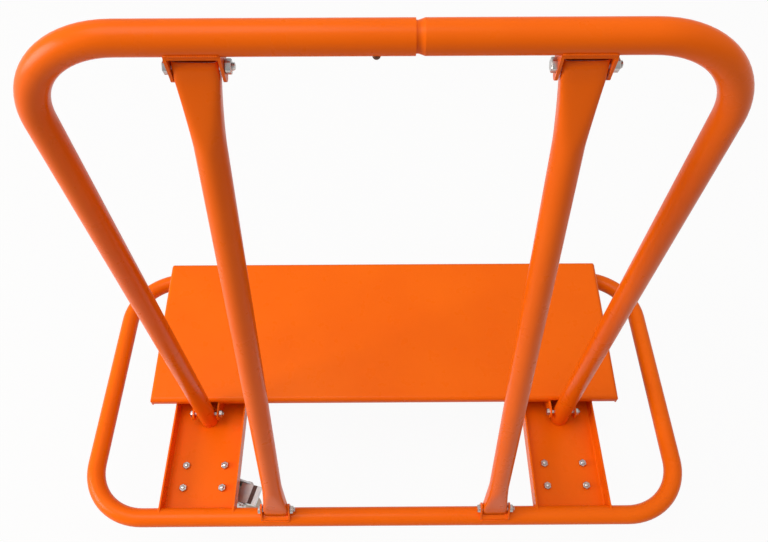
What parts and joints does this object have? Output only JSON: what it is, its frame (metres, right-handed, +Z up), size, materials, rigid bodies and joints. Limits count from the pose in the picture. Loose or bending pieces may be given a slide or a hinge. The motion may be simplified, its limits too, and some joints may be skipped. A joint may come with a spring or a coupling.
{
  "type": "drywall cart",
  "caption": "Tube-framed drywall cart: bolted upright handle with rear struts, tilted sheet deck on a rounded tube base, and braked swivel casters.",
  "frame": {"origin": "on the floor under the middle of the base loop", "axes": "+Z up, +Y from the strut side towards the deck, +X along the base to the right seen from the struts"},
  "size_m": [1.15, 0.576, 1.1636],
  "materials": {
    "orange_paint": "semi-gloss powder coat",
    "zinc_fasteners": "bright zinc plate",
    "zinc_pressings": "zinc-plated pressed steel",
    "ball_steel": "polished",
    "spring_steel": "oiled dark steel",
    "wheel_core": "moulded",
    "cream_tread": "satin moulded polyurethane"
  },
  "bodies": {
    "cart": {"base_loop": "orange_paint", "left_channel": "orange_paint", "right_channel": "orange_paint", "deck": "orange_paint", "left_deck_bearer": "orange_paint", "right_deck_bearer": "orange_paint", "left_handle_tube": "orange_paint", "right_handle_tube": "orange_paint", "left_strut": "orange_paint", "right_strut": "orange_paint", "left_top_bracket": "orange_paint", "right_top_bracket": "orange_paint", "left_foot_bracket": "orange_paint", "right_foot_bracket": "orange_paint", "strut_bolts": "zinc_fasteners", "strut_nuts": "zinc_fasteners", "leg_bolts": "zinc_fasteners", "leg_nuts": "zinc_fasteners", "caster_bolts": "zinc_fasteners", "caster_nuts": "zinc_fasteners", "snap_spring": "spring_steel", "rear_left_plate": "zinc_pressings", "rear_left_balls": "ball_steel", "rear_left_kingpin": "zinc_pressings", "rear_right_plate": "zinc_pressings", "rear_right_balls": "ball_steel", "rear_right_kingpin": "zinc_pressings", "front_left_plate": "zinc_pressings", "front_left_balls": "ball_steel", "front_left_kingpin": "zinc_pressings", "front_right_plate": "zinc_pressings", "front_right_balls": "ball_steel", "front_right_kingpin": "zinc_pressings"},
    "button": {"snap_button": "zinc_fasteners"},
    "rear_left_swivel": {"rear_left_fork": "zinc_pressings", "rear_left_axle": "zinc_fasteners", "rear_left_bush": "spring_steel", "rear_left_brake_pin": "zinc_pressings"},
    "rear_left_wheel": {"rear_left_core": "wheel_core", "rear_left_tread": "cream_tread"},
    "rear_left_pedal": {"rear_left_brake_pedal": "zinc_pressings"},
    "rear_right_swivel": {"rear_right_fork": "zinc_pressings", "rear_right_axle": "zinc_fasteners", "rear_right_bush": "spring_steel", "rear_right_brake_pin": "zinc_pressings"},
    "rear_right_wheel": {"rear_right_core": "wheel_core", "rear_right_tread": "cream_tread"},
    "rear_right_pedal": {"rear_right_brake_pedal": "zinc_pressings"},
    "front_left_swivel": {"front_left_fork": "zinc_pressings", "front_left_axle": "zinc_fasteners", "front_left_bush": "spring_steel"},
    "front_left_wheel": {"front_left_core": "wheel_core", "front_left_tread": "cream_tread"},
    "front_right_swivel": {"front_right_fork": "zinc_pressings", "front_right_axle": "zinc_fasteners", "front_right_bush": "spring_steel"},
    "front_right_wheel": {"front_right_core": "wheel_core", "front_right_tread": "cream_tread"}
  },
  "joints": [
    {"name": "rear_left_swivel_turn", "type": "hinge", "parent": "cart", "child": "rear_left_swivel", "pos_m": [-0.35, -0.188, 0.145], "axis": [0, 0, 1], "continuous": true},
    {"name": "rear_left_wheel_spin", "type": "hinge", "parent": "rear_left_swivel", "child": "rear_left_wheel", "pos_m": [-0.3134, -0.19822, 0.0625], "axis": [0.2689, 0.9632, 0], "continuous": true},
    {"name": "rear_left_brake", "type": "hinge", "parent": "rear_left_swivel", "child": "rear_left_pedal", "pos_m": [-0.27291, -0.20952, 0.12144], "axis": [0.2689, 0.9632, 0], "range_deg": [0, 25]},
    {"name": "rear_right_swivel_turn", "type": "hinge", "parent": "cart", "child": "rear_right_swivel", "pos_m": [0.35, -0.188, 0.145], "axis": [0, 0, 1], "continuous": true},
    {"name": "rear_right_wheel_spin", "type": "hinge", "parent": "rear_right_swivel", "child": "rear_right_wheel", "pos_m": [0.35, -0.15, 0.0625], "axis": [-1, 0, 0], "continuous": true},
    {"name": "rear_right_brake", "type": "hinge", "parent": "rear_right_swivel", "child": "rear_right_pedal", "pos_m": [0.35, -0.10796, 0.12144], "axis": [-1, 0, 0], "range_deg": [0, 25]},
    {"name": "front_left_swivel_turn", "type": "hinge", "parent": "cart", "child": "front_left_swivel", "pos_m": [-0.35, 0.188, 0.145], "axis": [0, 0, 1], "continuous": true},
    {"name": "front_left_wheel_spin", "type": "hinge", "parent": "front_left_swivel", "child": "front_left_wheel", "pos_m": [-0.34603, 0.15021, 0.0625], "axis": [0.9945, 0.1045, 0], "continuous": true},
    {"name": "front_right_swivel_turn", "type": "hinge", "parent": "cart", "child": "front_right_swivel", "pos_m": [0.35, 0.188, 0.145], "axis": [0, 0, 1], "continuous": true},
    {"name": "front_right_wheel_spin", "type": "hinge", "parent": "front_right_swivel", "child": "front_right_wheel", "pos_m": [0.34537, 0.15028, 0.0625], "axis": [0.9925, -0.1219, 0], "continuous": true},
    {"name": "snap_button_press", "type": "slide", "parent": "cart", "child": "button", "axis": [0, 0.4462, 0.8949], "range_m": [0, 0.0035], "stiffness_N_per_m": 900, "deforming": ["snap_spring"]}
  ]
}
